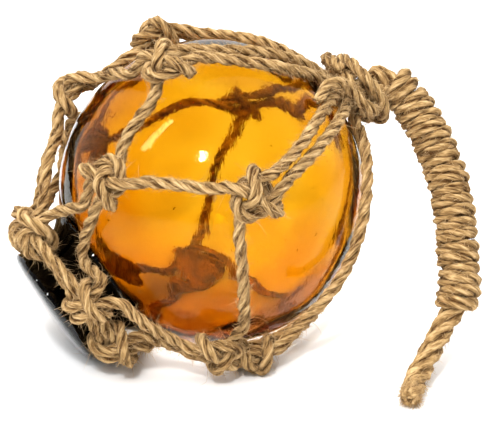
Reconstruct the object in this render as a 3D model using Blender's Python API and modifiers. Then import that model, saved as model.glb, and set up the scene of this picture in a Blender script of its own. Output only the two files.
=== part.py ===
import math

import bmesh
import bpy
import numpy as np
from mathutils import Matrix, Vector

# All lengths are in metres and all angles in degrees.
# The origin is on the ground under the middle of the ball and +Z is up.

# Glass ball, lying on a small flat spot
BALL_RADIUS = 0.050
BALL_FLAT_DEPTH = 0.0004
BALL_AROUND = 32
BALL_RINGS = 16

# Net axis, from the seal button through the ball to the gather
AXIS_RISE = 29.7
AXIS_HEADING = 21.1

# Seal button on the ball, turned about the net axis, with heights from its foot
BUTTON_BASE_RADIUS = 0.0245
BUTTON_WAIST_RADIUS = 0.0178
BUTTON_RIM_RADIUS = 0.0202
BUTTON_WAIST_HEIGHT = 0.0140
BUTTON_RIM_HEIGHT = 0.0195
BUTTON_DOME_HEIGHT = 0.0228
BUTTON_AROUND = 24

# Net rope
ROPE_DIAMETER = 0.0040
ROPE_SIDES_STEP = 1
LONGEST_STEP = 0.0100
SHORTEST_STEP = 0.0018
LARGEST_TURN = 28
NET_FACES = 6200
NET_GRAIN = 0.0006
FIT_GAP = 0.0003
BUTTON_GAP = 0.0006
# Size of the solid inside a knot along, across and outward, and its height, in rope diameters
KNOT_CORE = (1.7, 1.5, 1.15, 0.85)
HITCH_CORE = (1.7, 1.4, 1.3, 0.0)

# Net knots as (degrees from the gather, degrees round the axis)
UPPER_KNOTS = {
    "front": (86.5, -20),
    "top": (82.5, -76),
    "top_back": (74, -131),
    "back": (57, -184),
    "under": (112, -311),
}
LOWER_KNOTS = {
    "left": (120.5, -57),
    "left_back": (109, -117),
    "far_back": (115, -157),
    "back_low": (106.5, -231.6),
    "front_low": (122, -326),
}
ZIGZAG = (
    "front",
    "left",
    "top",
    "left_back",
    "top_back",
    "far_back",
    "back",
    "back_low",
    "under",
    "front_low",
)
# The rope between these two knots hangs slack through these places on the ball
SLACK = {("back_low", "under"): ((99, -245), (91, -260), (88, -278), (96, -297))}
# The button rope passes these places on its way from a lower knot to the next hitch
DETOUR_AFTER = {"back_low": ((128, -242), (146, -262))}
# and these on its way from a hitch to the next lower knot
DETOUR_BEFORE = {"left": ((157, -47), (147, -53))}
# Where the west and the east leg of each upper knot arrive round the axis
LEG_ARRIVAL = {
    "front": (-35, -20),
    "top": (-70, -57),
    "top_back": (-153, -123),
    "back": (-205, -175),
    "under": (-341, -289),
}
# Degrees that each leg swings aside on its way there
LEG_SWING = {
    "front": (0, 0),
    "top": (2, 6),
    "top_back": (-1, 3),
    "back": (-1, 3),
    "under": (-2, 24),
}
LEG_ARRIVAL_ANGLE = 15.0
# Hitches of the lower knots' legs on the rope ring around the button
HITCHES = (-17, -87, -138, -196, -334)
# The ring lies round the button's waist, so many rope diameters out and so high over its foot
RING_SLACK = 1.62
RING_HEIGHT = 0.0124
RING_SPREAD = 0.52
RING_ROLL = 0.6
RING_STEPS = 26

# Gather: a bundle of the legs with turns of rope round it
BUNDLE_RADIUS = 0.0086
GATHER_CLEARANCE = 0.0085
GATHER_LENGTH = 0.0105
GATHER_TURNS = 3
GATHER_STEPS = 11
# Rope diameters that the turns sit out from the bundle, wander along it and cross over
GATHER_SINK = 0.45
GATHER_WANDER = 0.62
GATHER_CROSSING = 0.75
GATHER_FIRST_TURN = -0.6

# Handle: a rope tail with rope wound round its upper part
TAIL_DIAMETER = 0.0074
WHIP_DIAMETER = 0.0143
WHIP_PITCH = 0.0039
WHIP_GROOVE = 0.0010
WHIP_SIDES = 10
WHIP_START = 0.0085
WHIP_FIRST_SHARE = 0.76
WHIP_GROWTH = 0.11
WHIP_BORE_GAP = 0.0005
# Where each turn's ridge begins and ends, as shares of the pitch
WHIP_RIDGE = (0.02, 0.28, 0.74)
WHIP_END = 0.0915
# Middle of the tail rope, in ball radii from the middle of the ball
TAIL_ROUTE = (
    (1.188, 0.388, 0.602),
    (1.326, 0.300, 0.475),
    (1.445, 0.160, 0.290),
    (1.535, -0.010, 0.080),
    (1.576, -0.185, -0.135),
    (1.588, -0.335, -0.350),
    (1.582, -0.480, -0.555),
    (1.487, -0.580, -0.697),
    (1.387, -0.745, -0.808),
    (1.282, -0.960, -0.895),
    (1.215, -1.205, -0.918),
)

LIE = BALL_RADIUS + FIT_GAP + ROPE_DIAMETER / 2
BUTTON_FOOT = math.sqrt(BALL_RADIUS**2 - BUTTON_BASE_RADIUS**2)
RING_RADIUS = BUTTON_WAIST_RADIUS + RING_SLACK * ROPE_DIAMETER
RING_OFFSET = BUTTON_FOOT + RING_HEIGHT
GATHER_OFFSET = BALL_RADIUS + GATHER_CLEARANCE
CENTRE_HEIGHT = BALL_RADIUS - BALL_FLAT_DEPTH

# Sheet bend in rope diameters: toward the legs, to the side, and up off the glass
BIGHT = (
    (3.3, 0.55, 0.35),
    (2.3, 0.6, 0.85),
    (1.2, 0.8, 1.05),
    (0.2, 1.0, 1.1),
    (-0.8, 0.85, 1.05),
    (-1.3, 0.0, 0.95),
)
BEND = (
    (-2.2, -1.5, 0.0),
    (-1.2, -0.35, 0.08),
    (-0.6, -0.05, 0.95),
    (-0.1, 0.2, 1.8),
    (0.4, 0.95, 2.05),
    (0.95, 1.75, 1.2),
    (1.3, 1.3, 0.25),
    (1.45, 0.0, 0.0),
    (1.3, -1.3, 0.25),
    (0.85, -1.8, 1.2),
    (0.3, -1.1, 2.05),
    (0.05, -0.4, 1.25),
    (-0.1, 0.2, 0.8),
    (-0.35, 0.8, 1.45),
    (-0.65, 1.25, 1.9),
    (-1.1, 1.9, 1.1),
    (-1.9, 2.2, 0.2),
)
# Half of a hitch over the rope ring, in the same measures from the ring's middle
HITCH = (
    (-2.7, -1.2, -1.2),
    (-1.8, -0.55, -0.6),
    (-1.0, -0.5, 0.65),
    (0.0, -0.5, 1.2),
    (1.0, -0.55, 0.7),
    (1.25, -0.65, -0.3),
    (0.3, -1.1, -1.1),
    (-1.1, -1.5, -0.7),
    (-1.8, -1.1, 0.4),
    (-1.8, 0.0, 0.95),
)


def clear_scene():
    for old in list(bpy.data.objects):
        bpy.data.objects.remove(old, do_unlink=True)


def new_collection(name):
    made = bpy.data.collections.new(name)
    bpy.context.scene.collection.children.link(made)
    return made


def new_material(name, colour, roughness):
    made = bpy.data.materials.new(name)
    made.use_nodes = True
    shader = made.node_tree.nodes["Principled BSDF"]
    shader.inputs["Base Color"].default_value = (*colour, 1)
    shader.inputs["Roughness"].default_value = roughness
    shader.inputs["Metallic"].default_value = 0.0
    made.diffuse_color = (*colour, 1)
    return made


def net_matrix():
    """Turns the net's own axes, with the gather at +Z, to the object's axes."""
    rise = math.radians(AXIS_RISE)
    heading = math.radians(AXIS_HEADING)
    axis = Vector(
        (
            math.cos(rise) * math.cos(heading),
            math.cos(rise) * math.sin(heading),
            math.sin(rise),
        )
    )
    side = Vector((math.sin(heading), -math.cos(heading), 0.0))
    down = axis.cross(side)
    turned = Matrix((side, down, axis)).transposed().to_4x4()
    return Matrix.Translation((0, 0, CENTRE_HEIGHT)) @ turned


def on_ball(from_gather, around, radius):
    polar = math.radians(from_gather)
    turn = math.radians(around)
    flat = radius * math.sin(polar)
    return np.array(
        (flat * math.cos(turn), flat * math.sin(turn), radius * math.cos(polar))
    )


def knot_axes(from_gather, around, to_button):
    """Outward, along and across directions at a knot."""
    outward = on_ball(from_gather, around, 1.0)
    along = on_ball(from_gather + 90, around, 1.0)
    if not to_button:
        along = -along
    return outward, along, np.cross(outward, along)


def bend_over(axes, place, radius=LIE):
    """A place given in rope diameters, laid over the ball's round surface."""
    outward, along, across = axes
    reach = math.hypot(place[0], place[1])
    if reach < 1e-6:
        return outward * (radius + place[2] * ROPE_DIAMETER)
    angle = reach * ROPE_DIAMETER / radius
    toward = (along * place[0] + across * place[1]) / reach
    direction = outward * math.cos(angle) + toward * math.sin(angle)
    return direction * (radius + place[2] * ROPE_DIAMETER)


def folded(half):
    return half + tuple((x, -y, z) for x, y, z in half[-2::-1])


def knot_place(name):
    if name in UPPER_KNOTS:
        return knot_axes(*UPPER_KNOTS[name], False)
    return knot_axes(*LOWER_KNOTS[name], True)


def bight_points(name):
    return [bend_over(knot_place(name), place) for place in folded(BIGHT)]


def bend_points(name):
    points = [bend_over(knot_place(name), place) for place in BEND]
    return points if name in UPPER_KNOTS else points[::-1]


def between(start, end, share):
    """The place part of the way along the shortest way over the ball."""
    first = np.linalg.norm(start)
    last = np.linalg.norm(end)
    angle = math.acos(float(np.clip(start @ end / (first * last), -1, 1)))
    if angle < 1e-4:
        return start + (end - start) * share
    near = math.sin((1 - share) * angle) / math.sin(angle) / first
    far = math.sin(share * angle) / math.sin(angle) / last
    return (start * near + end * far) * (first + (last - first) * share)


def over_ball(stops):
    """Places over the ball between each two stops, without the first and last."""
    places = []
    for start, end in zip(stops, stops[1:]):
        count = max(1, round(np.linalg.norm(end - start) / (2.4 * ROPE_DIAMETER)))
        for step in range(count):
            places.append(between(start, end, step / count))
    return places[1:]


def off_ground(route):
    """The route with every place that would be under the ground laid on it."""
    placed = net_matrix()
    back = placed.inverted()
    raised = []
    for point in route:
        place = placed @ Vector(point)
        place.z = max(place.z, ROPE_DIAMETER / 2)
        raised.append(np.array(back @ place))
    return raised


def smooth(share):
    return share * share * (3 - 2 * share)


def through(points, closed, per_span=6):
    """A round curve through the points."""
    points = [np.asarray(point, float) for point in points]
    if closed:
        points = [points[-1]] + points + points[:2]
    else:
        before = 2 * points[0] - points[1]
        after = 2 * points[-1] - points[-2]
        points = [before] + points + [after]
    curve = []
    for p0, p1, p2, p3 in zip(points, points[1:], points[2:], points[3:]):
        for step in range(per_span):
            t = step / per_span
            curve.append(
                0.5
                * (
                    2 * p1
                    + (p2 - p0) * t
                    + (2 * p0 - 5 * p1 + 4 * p2 - p3) * t * t
                    + (3 * p1 - p0 - 3 * p2 + p3) * t * t * t
                )
            )
    if not closed:
        curve.append(points[-2])
    return curve


def thinned(curve, closed, longest=LONGEST_STEP, turn=LARGEST_TURN):
    """Fewer points on the curve: more where it turns and fewer where it is straight."""
    kept = [curve[0]]
    direction = curve[1] - curve[0]
    for here, after in zip(curve[1:], curve[2:] + [curve[0]]):
        step = after - here
        length = np.linalg.norm(here - kept[-1])
        cosine = direction @ step / (np.linalg.norm(direction) * np.linalg.norm(step) + 1e-12)
        bent = math.degrees(math.acos(float(np.clip(cosine, -1, 1))))
        if length > longest or (bent > turn and length > SHORTEST_STEP):
            kept.append(here)
            direction = step
    if closed:
        if np.linalg.norm(kept[-1] - kept[0]) < SHORTEST_STEP:
            kept.pop()
    elif np.linalg.norm(kept[-1] - curve[-1]) < SHORTEST_STEP:
        kept[-1] = curve[-1]
    else:
        kept.append(curve[-1])
    return kept


def zigzag_route():
    """The closed rope that ties an upper and a lower knot in turn."""
    route = []
    for name, following in zip(ZIGZAG, ZIGZAG[1:] + ZIGZAG[:1]):
        tied = bend_points(name)
        stops = [tied[-1]]
        stops += [on_ball(*place, LIE) for place in SLACK.get((name, following), ())]
        stops.append(bend_points(following)[0])
        route += tied + over_ball(stops)
    return route


def leg_route(name, side):
    """From an upper knot over the ball to the gather. Side is +1 for the west leg."""
    from_gather, around = UPPER_KNOTS[name]
    leg = 0 if side > 0 else 1
    swing = LEG_SWING[name][leg]
    arrival = LEG_ARRIVAL[name][leg]
    foot = BIGHT[0]
    start = from_gather - math.degrees(foot[0] * ROPE_DIAMETER / LIE)
    offset = math.degrees(foot[1] * ROPE_DIAMETER / LIE / math.sin(math.radians(from_gather)))
    end = LEG_ARRIVAL_ANGLE
    count = max(3, round((start - end) / 10.5))
    route = []
    for step in range(1, count + 1):
        share = step / count
        turn = around - side * offset
        turn += (arrival - turn) * smooth(share) + swing * math.sin(math.pi * share)
        route.append(on_ball(start + (end - start) * share, turn, LIE))
    inside = BUNDLE_RADIUS - ROPE_DIAMETER / 2
    turn = math.radians(arrival)
    for radius, along in ((1.25 * inside, -0.69), (inside, -0.3), (inside, 0.35)):
        height = GATHER_OFFSET + along * GATHER_LENGTH
        route.append(
            np.array((radius * math.cos(turn), radius * math.sin(turn), height))
        )
    return route


def loop_route(name):
    """A loop of the net: up one leg from the gather, round the knot and back."""
    west = leg_route(name, 1)
    east = leg_route(name, -1)
    return west[::-1] + bight_points(name) + east


def ring_axes(around):
    polar = 180 - math.degrees(math.atan2(RING_RADIUS, RING_OFFSET))
    return knot_axes(polar, around, True)


def hitch_points(around):
    reach = math.hypot(RING_RADIUS, RING_OFFSET)
    return [bend_over(ring_axes(around), place, reach) for place in folded(HITCH)]


def button_rope_route():
    """The closed rope from each lower knot to the hitches on both its sides."""
    lower = [name for name in ZIGZAG if name in LOWER_KNOTS]
    route = []
    for index, name in enumerate(lower):
        following = (index + 1) % len(lower)
        knot = bight_points(name)
        hitch = hitch_points(HITCHES[following])[::-1]
        after = [on_ball(*place, LIE) for place in DETOUR_AFTER.get(name, ())]
        before = [on_ball(*place, LIE) for place in DETOUR_BEFORE.get(lower[following], ())]
        route += knot + over_ball([knot[-1], *after, hitch[0]]) + hitch
        route += over_ball([hitch[-1], *before, bight_points(lower[following])[0]])
    return route


def ring_route():
    """Two turns of rope round the button, lying side by side."""
    route = []
    steps = RING_STEPS
    for step in range(steps):
        turn = 4 * math.pi * step / steps
        roll = turn / 2 + RING_ROLL
        radius = RING_RADIUS + RING_SPREAD * ROPE_DIAMETER * math.cos(roll)
        height = -RING_OFFSET + RING_SPREAD * ROPE_DIAMETER * math.sin(roll)
        route.append(
            np.array((radius * math.cos(turn), radius * math.sin(turn), height))
        )
    return route


def gather_route():
    """Turns of rope round the gathered legs, the last one crossing over the others."""
    route = []
    inner = BUNDLE_RADIUS + GATHER_SINK * ROPE_DIAMETER
    points = GATHER_STEPS * GATHER_TURNS
    for step in range(points):
        turn = 2 * math.pi * step / GATHER_STEPS + GATHER_FIRST_TURN
        share = step / points
        height = GATHER_WANDER * ROPE_DIAMETER * math.cos(math.pi * GATHER_TURNS * share)
        last_turn = share > 1 - 1 / GATHER_TURNS
        over = math.sin(math.pi * share * GATHER_TURNS) ** 2 if last_turn else 0.0
        radius = inner + GATHER_CROSSING * ROPE_DIAMETER * over
        route.append(
            np.array(
                (
                    radius * math.cos(turn),
                    radius * math.sin(turn),
                    GATHER_OFFSET + height,
                )
            )
        )
    return route


def tail_route():
    """The middle of the tail rope, from the gather to where it ends on the ground."""
    start = GATHER_OFFSET + GATHER_LENGTH / 2 + FIT_GAP
    route = [
        np.array(net_matrix() @ Vector((0, 0, start))),
        np.array(net_matrix() @ Vector((0, 0, start + 0.3 * TAIL_DIAMETER))),
    ]
    for x, y, z in TAIL_ROUTE:
        height = max(CENTRE_HEIGHT + z * BALL_RADIUS, TAIL_DIAMETER / 2)
        route.append(np.array((x * BALL_RADIUS, y * BALL_RADIUS, height)))
    return route[:1] + through(route[1:], False, 2)


def tube(name, points, diameter, closed, material, home, sides_step=ROPE_SIDES_STEP):
    """A mesh tube round a line of points."""
    curve = bpy.data.curves.new(name + "_line", "CURVE")
    curve.dimensions = "3D"
    curve.bevel_depth = diameter / 2
    curve.bevel_resolution = sides_step
    curve.use_fill_caps = not closed
    line = curve.splines.new("POLY")
    line.points.add(len(points) - 1)
    for point, place in zip(line.points, points):
        point.co = (*[float(v) for v in place], 1.0)
    line.use_cyclic_u = closed
    holder = bpy.data.objects.new(name + "_line", curve)
    home.objects.link(holder)
    graph = bpy.context.evaluated_depsgraph_get()
    mesh = bpy.data.meshes.new_from_object(holder.evaluated_get(graph))
    bpy.data.objects.remove(holder)
    clean = bmesh.new()
    clean.from_mesh(mesh)
    bmesh.ops.remove_doubles(clean, verts=clean.verts, dist=1e-6)
    bmesh.ops.recalc_face_normals(clean, faces=clean.faces)
    clean.to_mesh(mesh)
    clean.free()
    mesh.name = name
    mesh.materials.clear()
    mesh.materials.append(material)
    made = bpy.data.objects.new(name, mesh)
    home.objects.link(made)
    return made


def as_helper(made):
    made.hide_render = True
    made.display_type = "WIRE"


def boolean(target, others, operation):
    """Applies one Boolean modifier to the target for each of the others."""
    for other in others:
        modifier = target.modifiers.new(other.name, "BOOLEAN")
        modifier.operation = operation
        modifier.solver = "EXACT"
        modifier.object = other
        as_helper(other)


def shade_smooth(made, angle=40):
    """Smooth shading with the sharp edges kept."""
    mesh = made.data
    shape = bmesh.new()
    shape.from_mesh(mesh)
    for face in shape.faces:
        face.smooth = True
    for edge in shape.edges:
        if len(edge.link_faces) == 2:
            edge.smooth = edge.calc_face_angle(0) < math.radians(angle)
    shape.to_mesh(mesh)
    shape.free()


def add_lathe(name, profile, steps, material, home):
    """A solid of revolution about its own Z from (radius, height) pairs."""
    mesh = bpy.data.meshes.new(name)
    shape = bmesh.new()
    rows = [shape.verts.new((radius, 0, height)) for radius, height in profile]
    for first, second in zip(rows, rows[1:]):
        shape.edges.new((first, second))
    shape.to_mesh(mesh)
    shape.free()
    mesh.materials.append(material)
    made = bpy.data.objects.new(name, mesh)
    home.objects.link(made)
    screw = made.modifiers.new("Turn", "SCREW")
    screw.steps = steps
    screw.render_steps = steps
    screw.use_merge_vertices = True
    screw.merge_threshold = 0.00001
    screw.use_normal_calculate = True
    screw.use_smooth_shade = True
    return made


def knot_cores(material, home):
    """A small solid in the middle of each knot, so that no pocket stays inside it."""
    cores = []
    seats = [(name, knot_place(name), LIE, KNOT_CORE) for name in ZIGZAG]
    seats += [
        (f"hitch_{index}", ring_axes(around), math.hypot(RING_RADIUS, RING_OFFSET), HITCH_CORE)
        for index, around in enumerate(HITCHES)
    ]
    for name, axes, radius, size in seats:
        outward, along, across = axes
        shape = bmesh.new()
        bmesh.ops.create_icosphere(shape, subdivisions=1, radius=1.0)
        middle = outward * (radius + size[3] * ROPE_DIAMETER)
        for corner in shape.verts:
            x, y, z = (value * ROPE_DIAMETER for value in corner.co)
            place = middle + along * x * size[0] + across * y * size[1] + outward * z * size[2]
            corner.co = Vector(place)
        mesh = bpy.data.meshes.new("core_" + name)
        shape.to_mesh(mesh)
        shape.free()
        mesh.materials.append(material)
        made = bpy.data.objects.new("core_" + name, mesh)
        home.objects.link(made)
        cores.append(made)
    return cores


def joined(name, pieces, home):
    """One object that holds the meshes of all the pieces, which it replaces."""
    shape = bmesh.new()
    for piece in pieces:
        shape.from_mesh(piece.data)
    mesh = bpy.data.meshes.new(name)
    shape.to_mesh(mesh)
    shape.free()
    mesh.materials.append(pieces[0].data.materials[0])
    made = bpy.data.objects.new(name, mesh)
    home.objects.link(made)
    for piece in pieces:
        bpy.data.objects.remove(piece)
    return made


def outer_skin_only(made):
    """Applies the modifiers and drops the skin of any pocket closed up inside."""
    bpy.context.view_layer.update()
    graph = bpy.context.evaluated_depsgraph_get()
    mesh = bpy.data.meshes.new_from_object(made.evaluated_get(graph))
    made.modifiers.clear()
    made.data = mesh
    shape = bmesh.new()
    shape.from_mesh(mesh)
    left = set(shape.verts)
    skins = []
    while left:
        front = [left.pop()]
        skin = set(front)
        while front:
            corner = front.pop()
            for edge in corner.link_edges:
                other = edge.other_vert(corner)
                if other in left:
                    left.discard(other)
                    skin.add(other)
                    front.append(other)
        skins.append(skin)
    skins.sort(key=len, reverse=True)
    for skin in skins[1:]:
        bmesh.ops.delete(shape, geom=list(skin), context="VERTS")
    shape.to_mesh(mesh)
    shape.free()


def keep_clear(made):
    """Presses the rope off the ball, the button's side, the tail and the ground."""
    placed = net_matrix()
    back = placed.inverted()
    least = BALL_RADIUS + FIT_GAP
    top = GATHER_OFFSET + GATHER_LENGTH / 2
    side = button_profile()[4:12]
    heights = [-height for radius, height in side]
    radii = [radius for radius, height in side]
    face = heights[-1] + 2 * ROPE_DIAMETER
    for corner in made.data.vertices:
        place = corner.co
        if place.length < least:
            place *= least / place.length
        if place.z < -heights[0]:
            reach = math.hypot(place.x, place.y)
            clear = float(np.interp(-place.z, heights, radii)) + BUTTON_GAP
            if -place.z < face and 0 < reach < clear:
                place.x *= clear / reach
                place.y *= clear / reach
        if place.z > top and math.hypot(place.x, place.y) < TAIL_DIAMETER:
            place.z = top
        standing = placed @ place
        if standing.z < 0:
            standing.z = 0
            place = back @ standing
        corner.co = place


def gather_core(material, home):
    """The legs' bundle inside the turns of rope at the gather."""
    shape = bmesh.new()
    bmesh.ops.create_cone(
        shape,
        cap_ends=True,
        segments=16,
        radius1=0.8 * BUNDLE_RADIUS,
        radius2=BUNDLE_RADIUS,
        depth=GATHER_LENGTH,
        matrix=Matrix.Translation((0, 0, GATHER_OFFSET)),
    )
    mesh = bpy.data.meshes.new("bundle")
    shape.to_mesh(mesh)
    shape.free()
    mesh.materials.append(material)
    made = bpy.data.objects.new("bundle", mesh)
    home.objects.link(made)
    return made


def button_profile():
    """The button about the net axis, from the middle of its hollow underside to its face."""
    foot = BUTTON_FOOT
    seat = BALL_RADIUS + FIT_GAP
    rim = foot + BUTTON_RIM_HEIGHT
    waist = foot + BUTTON_WAIST_HEIGHT
    dome = foot + BUTTON_DOME_HEIGHT
    swell = BUTTON_RIM_RADIUS - BUTTON_WAIST_RADIUS
    flare = BUTTON_BASE_RADIUS - BUTTON_WAIST_RADIUS
    profile = []
    for step in range(4):
        radius = BUTTON_BASE_RADIUS * step / 4
        profile.append((radius, -math.sqrt(seat**2 - radius**2)))
    lip = math.sqrt(seat**2 - BUTTON_BASE_RADIUS**2)
    profile += [
        (BUTTON_BASE_RADIUS, -lip),
        (BUTTON_BASE_RADIUS, -(lip + 0.06 * BUTTON_WAIST_HEIGHT)),
        (BUTTON_WAIST_RADIUS + 0.45 * flare, -(foot + 0.22 * BUTTON_WAIST_HEIGHT)),
        (BUTTON_WAIST_RADIUS + 0.1 * flare, -(foot + 0.5 * BUTTON_WAIST_HEIGHT)),
        (BUTTON_WAIST_RADIUS, -waist),
        (BUTTON_WAIST_RADIUS + 0.4 * swell, -(waist + 0.6 * (rim - waist))),
        (BUTTON_RIM_RADIUS, -(rim - 0.08 * (rim - waist))),
        (BUTTON_RIM_RADIUS - 0.1 * swell, -(rim + 0.2 * (dome - rim))),
        (0.90 * BUTTON_RIM_RADIUS, -(rim + 0.5 * (dome - rim))),
        (0.62 * BUTTON_RIM_RADIUS, -(rim + 0.8 * (dome - rim))),
        (0.32 * BUTTON_RIM_RADIUS, -(rim + 0.95 * (dome - rim))),
        (0.0, -dome),
    ]
    return profile


def along_route(points, distance):
    """The place and the direction at a distance along a line of points."""
    walked = 0.0
    for start, end in zip(points, points[1:]):
        length = np.linalg.norm(end - start)
        if walked + length >= distance:
            share = (distance - walked) / length
            return start + (end - start) * share, (end - start) / length
        walked += length
    return points[-1], (points[-1] - points[-2]) / np.linalg.norm(points[-1] - points[-2])


def add_whipping(material, home):
    """The wound rope as one sleeve with a ridge for each turn."""
    line = tail_route()
    bore = TAIL_DIAMETER / 2 / math.cos(math.pi / WHIP_SIDES) + WHIP_BORE_GAP
    turns = round((WHIP_END - WHIP_START) / WHIP_PITCH)
    pitch = (WHIP_END - WHIP_START) / turns
    rings = [(WHIP_START, bore)]
    for turn in range(turns):
        start = WHIP_START + turn * pitch
        peak = WHIP_DIAMETER / 2 * min(1.0, WHIP_FIRST_SHARE + WHIP_GROWTH * turn)
        rings.append((start + WHIP_RIDGE[0] * pitch, peak - WHIP_GROOVE))
        rings.append((start + WHIP_RIDGE[1] * pitch, peak))
        rings.append((start + WHIP_RIDGE[2] * pitch, peak))
    rings.append((WHIP_END, WHIP_DIAMETER / 2 - WHIP_GROOVE))
    steps = turns
    for step in range(steps):
        rings.append((WHIP_END - (WHIP_END - WHIP_START) * step / steps, bore))
    shape = bmesh.new()
    rows = []
    for distance, radius in rings:
        middle, ahead = along_route(line, distance)
        side = np.cross(ahead, (0.0, 1.0, 0.0))
        side /= np.linalg.norm(side)
        other = np.cross(ahead, side)
        row = []
        for step in range(WHIP_SIDES):
            turn = 2 * math.pi * step / WHIP_SIDES
            place = middle + radius * (side * math.cos(turn) + other * math.sin(turn))
            row.append(shape.verts.new(Vector(place)))
        rows.append(row)
    for row, following in zip(rows, rows[1:] + rows[:1]):
        for step in range(WHIP_SIDES):
            after = (step + 1) % WHIP_SIDES
            shape.faces.new((row[step], row[after], following[after], following[step]))
    bmesh.ops.recalc_face_normals(shape, faces=shape.faces)
    mesh = bpy.data.meshes.new("handle_whipping")
    shape.to_mesh(mesh)
    shape.free()
    mesh.materials.append(material)
    made = bpy.data.objects.new("handle_whipping", mesh)
    home.objects.link(made)
    shade_smooth(made, 70)


def build():
    clear_scene()
    home = new_collection("glass_float_ball")
    cutters = new_collection("cutters")
    glass = new_material("amber_glass", (0.86, 0.42, 0.03), 0.05)
    bottle = new_material("bottle_glass", (0.01, 0.022, 0.017), 0.08)
    jute = new_material("jute_rope", (0.42, 0.29, 0.16), 0.9)
    tail_jute = new_material("jute_tail", (0.42, 0.29, 0.16), 0.9)
    whip_jute = new_material("jute_whipping", (0.42, 0.29, 0.16), 0.9)
    placed = net_matrix()

    floor = bpy.data.meshes.new("ground")
    block = bmesh.new()
    bmesh.ops.create_cube(block, size=1.0)
    bmesh.ops.scale(block, vec=(0.4, 0.4, 0.05), verts=block.verts)
    bmesh.ops.translate(block, vec=(0, 0, -0.025), verts=block.verts)
    block.to_mesh(floor)
    block.free()
    ground = bpy.data.objects.new("ground", floor)
    cutters.objects.link(ground)
    as_helper(ground)

    profile = []
    for step in range(BALL_RINGS + 1):
        turn = math.pi * step / BALL_RINGS
        radius = 0.0 if step in (0, BALL_RINGS) else BALL_RADIUS * math.sin(turn)
        profile.append((radius, BALL_RADIUS * math.cos(turn)))
    ball = add_lathe("glass_ball", profile, BALL_AROUND, glass, home)
    ball.matrix_world = placed
    boolean(ball, [ground], "DIFFERENCE")

    strands = {
        "zigzag": (thinned(through(off_ground(zigzag_route()), True), True), True),
        "button_rope": (thinned(through(off_ground(button_rope_route()), True), True), True),
        "ring": (off_ground(ring_route()), True),
        "gather": (gather_route(), False),
    }
    for name in UPPER_KNOTS:
        strands["loop_" + name] = (thinned(through(loop_route(name), False), False), False)
    pieces = [
        tube(name, points, ROPE_DIAMETER, closed, jute, cutters)
        for name, (points, closed) in strands.items()
    ]
    pieces += knot_cores(jute, cutters)
    pieces.append(gather_core(jute, cutters))
    net = joined("rope_net", pieces, home)
    net.matrix_world = placed
    skin = net.modifiers.new("One skin", "REMESH")
    skin.mode = "VOXEL"
    skin.voxel_size = NET_GRAIN
    outer_skin_only(net)
    keep_clear(net)
    lighter = net.modifiers.new("Fewer faces", "DECIMATE")
    lighter.ratio = NET_FACES / len(net.data.polygons) / 2
    outer_skin_only(net)
    keep_clear(net)
    shade_smooth(net)

    button = add_lathe("seal_button", button_profile(), BUTTON_AROUND, bottle, home)
    button.matrix_world = placed

    tail = tube("tail_rope", tail_route(), TAIL_DIAMETER, False, tail_jute, home, 2)
    shade_smooth(tail)
    add_whipping(whip_jute, home)


build()
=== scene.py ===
import math

import bpy
import numpy as np
from mathutils import Matrix, Vector
from mathutils.kdtree import KDTree


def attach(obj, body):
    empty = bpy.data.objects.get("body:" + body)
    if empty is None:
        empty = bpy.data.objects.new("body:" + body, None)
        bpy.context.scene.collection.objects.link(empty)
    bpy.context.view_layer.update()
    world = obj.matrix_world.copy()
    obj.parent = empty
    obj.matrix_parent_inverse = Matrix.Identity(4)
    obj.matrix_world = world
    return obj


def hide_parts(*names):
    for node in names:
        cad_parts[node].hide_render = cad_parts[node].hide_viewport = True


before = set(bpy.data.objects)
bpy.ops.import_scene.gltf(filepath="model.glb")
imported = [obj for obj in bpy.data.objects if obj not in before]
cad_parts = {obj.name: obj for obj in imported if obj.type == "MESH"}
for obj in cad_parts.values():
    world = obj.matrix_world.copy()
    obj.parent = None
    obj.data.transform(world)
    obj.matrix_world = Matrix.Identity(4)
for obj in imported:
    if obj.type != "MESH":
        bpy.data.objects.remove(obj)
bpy.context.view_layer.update()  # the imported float, in metres, lying on its small flat spot
print("float loaded:", sorted(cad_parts))


# where the photo was taken from
view = {
    "from": (0.0, -0.6954, 0.3306),
    "at": (0.0124, -0.0027, 0.0429),
    "lens": 165.4,
    "nearest": 0.05,
}


def addCamera():
    data = bpy.data.cameras.new("photo view")
    data.lens = view["lens"]
    data.clip_start = view["nearest"]
    camera = bpy.data.objects.new("photo view", data)
    camera.location = view["from"]
    ahead = Vector(view["at"]) - Vector(view["from"])
    camera.rotation_euler = ahead.to_track_quat("-Z", "Y").to_euler()
    bpy.context.scene.collection.objects.link(camera)
    bpy.context.scene.camera = camera


addCamera()


def unit(v):
    return v / np.maximum(np.linalg.norm(v, axis=-1, keepdims=True), 1e-12)


def quadMesh(name, places, quads, material, uv=None, hollowShade=None):
    # places (n, 3), quads (m, 4), uv (m, 4, 2); the last (n) is painted shade, 1 between two
    # strands
    mesh = bpy.data.meshes.new(name)
    mesh.vertices.add(len(places))
    mesh.vertices.foreach_set("co", np.asarray(places, np.float32).ravel())
    mesh.loops.add(quads.size)
    mesh.loops.foreach_set("vertex_index", quads.astype(np.int32).ravel())
    mesh.polygons.add(len(quads))
    mesh.polygons.foreach_set("loop_start", np.arange(0, quads.size, 4, dtype=np.int32))
    mesh.polygons.foreach_set("use_smooth", np.ones(len(quads), bool))
    if uv is not None:
        layer = mesh.uv_layers.new(name="fibre")
        layer.data.foreach_set("uv", np.asarray(uv, np.float32).ravel())
    # painted shade between strands, kept on the mesh for the rope's colour
    if hollowShade is not None:
        depth = mesh.attributes.new("hollowShade", "FLOAT", "POINT")
        depth.data.foreach_set("value", np.asarray(hollowShade, np.float32))
    mesh.update(calc_edges=True)
    mesh.validate()
    mesh.materials.append(material)
    made = bpy.data.objects.new(name, mesh)
    bpy.context.scene.collection.objects.link(made)
    return made


# a full turn for waves and ripples
wholeTurn = 6.283


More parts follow.
